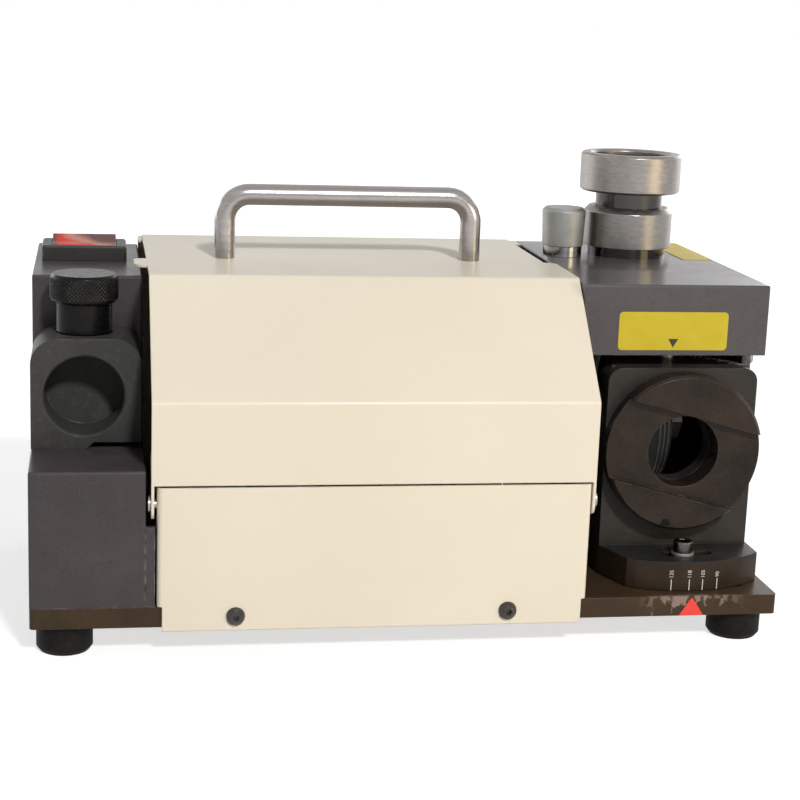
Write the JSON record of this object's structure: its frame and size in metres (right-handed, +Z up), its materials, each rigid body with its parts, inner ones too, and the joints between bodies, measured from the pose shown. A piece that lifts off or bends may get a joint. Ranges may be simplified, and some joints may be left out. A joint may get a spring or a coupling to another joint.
{
  "type": "drill bit sharpener",
  "caption": "Bench drill bit sharpener: hinged motor cover, bevelled wheel in a side housing, swivelling point port, sprung thinning port and a chuck setting block.",
  "frame": {"origin": "middle of the overall footprint box, on the bench under the rubber feet", "axes": "+X to the operator's right, along the motor shaft; +Y to the back; +Z up"},
  "size_m": [0.3236, 0.1906, 0.201],
  "materials": {
    "cream_paint": "glossy cream powder coat",
    "hammered_paint": "purple-grey hammered paint",
    "black_oxide": "black oxide over machined steel",
    "bright_steel": "turned and brushed steel",
    "zinc_steel": "zinc plated",
    "dark_screw": "blackened socket screw",
    "foot_rubber": "matt black moulded rubber",
    "red_plastic": "translucent red, glossy",
    "black_plastic": "fine grained black",
    "motor_paint": "dark grey enamel",
    "cast_aluminium": "die cast",
    "lamination_steel": "stacked laminations",
    "copper": "turned copper bars",
    "carbon": "pressed carbon",
    "abrasive": "bonded abrasive grit"
  },
  "bodies": {
    "frame": {"base_plate": "black_oxide", "rubber_feet": "foot_rubber", "foot_screws": "zinc_steel", "left_housing": "hammered_paint", "setting_block": "black_oxide", "switch_frame": "black_plastic", "cable_gland": "black_plastic", "gland_nut": "black_plastic", "lower_front_panel": "cream_paint", "panel_screws": "zinc_steel", "rear_panel": "cream_paint", "lid_hinge_pins": "bright_steel", "right_housing": "hammered_paint", "pivot_shelf": "hammered_paint", "inner_wall": "hammered_paint", "wheel_guard": "hammered_paint", "wheel_cover": "hammered_paint", "cover_screws": "zinc_steel", "lower_pivot_pin": "bright_steel", "upper_pivot_pin": "bright_steel", "motor_case": "motor_paint", "motor_left_end": "cast_aluminium", "motor_right_end": "cast_aluminium", "shaft_bearings": "bright_steel", "brush_holders": "black_plastic", "carbon_brushes": "carbon", "motor_saddles": "motor_paint", "motor_straps": "zinc_steel", "strap_screws": "zinc_steel", "port_collar": "bright_steel", "port_spring": "bright_steel", "lock_bush": "zinc_steel"},
    "lid": {"lid": "cream_paint", "carry_handle": "bright_steel", "handle_screws": "zinc_steel"},
    "rocker": {"switch_rocker": "red_plastic"},
    "clamp_pin": {"clamp_pin": "bright_steel"},
    "setting_knob": {"setting_knob": "black_oxide"},
    "swivel": {"swivel_bracket": "black_oxide"},
    "guide_disc": {"guide_disc": "black_oxide"},
    "clamp_screw": {"clamp_screw": "dark_screw", "clamp_washer": "zinc_steel"},
    "port_sleeve": {"port_sleeve": "bright_steel"},
    "lock_knob": {"lock_knob": "zinc_steel"},
    "spindle": {"motor_shaft": "bright_steel", "armature": "lamination_steel", "commutator": "copper", "cooling_fan": "black_plastic", "wheel_body": "cast_aluminium", "abrasive_ring": "abrasive", "wheel_flange": "bright_steel", "wheel_nut": "bright_steel"}
  },
  "joints": [
    {"name": "lid_hinge", "type": "hinge", "parent": "frame", "child": "lid", "pos_m": [-0.02005, -0.08815, 0.065], "axis": [1, 0, 0], "range_deg": [0, 100]},
    {"name": "rocker_tilt", "type": "hinge", "parent": "frame", "child": "rocker", "pos_m": [-0.1398, 0.03525, 0.1529], "axis": [1, 0, 0], "range_deg": [-20, 0]},
    {"name": "clamp_pin_feed", "type": "slide", "parent": "frame", "child": "clamp_pin", "axis": [0, 0, 1], "range_m": [-0.003, 0]},
    {"name": "knob_turn", "type": "hinge", "parent": "clamp_pin", "child": "setting_knob", "pos_m": [-0.1396, -0.03475, 0.145], "axis": [0, 0, 1], "range_deg": [-720, 0]},
    {"name": "swivel_turn", "type": "hinge", "parent": "frame", "child": "swivel", "pos_m": [0.1202, -0.03115, 0.073], "axis": [0, 0, 1], "range_deg": [-14, 8.5]},
    {"name": "disc_turn", "type": "hinge", "parent": "swivel", "child": "guide_disc", "pos_m": [0.1202, -0.06175, 0.0794], "axis": [0, 1, 0], "range_deg": [-15, 15]},
    {"name": "clamp_screw_turn", "type": "hinge", "parent": "frame", "child": "clamp_screw", "pos_m": [0.1202, -0.07345, 0.037], "axis": [0, 0, 1], "range_deg": [-180, 180]},
    {"name": "sleeve_press", "type": "slide", "parent": "frame", "child": "port_sleeve", "axis": [0, 0, 1], "range_m": [-0.007, 0], "stiffness_N_per_m": 1500, "springref_m": 0.004, "deforming": ["port_spring"]},
    {"name": "lock_turn", "type": "hinge", "parent": "frame", "child": "lock_knob", "pos_m": [0.0856, 0.03125, 0.163], "axis": [0, 0, 1], "range_deg": [-180, 180]},
    {"name": "spindle_spin", "type": "hinge", "parent": "frame", "child": "spindle", "pos_m": [0.0182, 0.00224, 0.0794], "axis": [1, 0, 0], "continuous": true}
  ],
  "couplings": [
    {"joint": "knob_turn", "follows": "clamp_pin_feed", "rad_per_m": 4188.8}
  ]
}
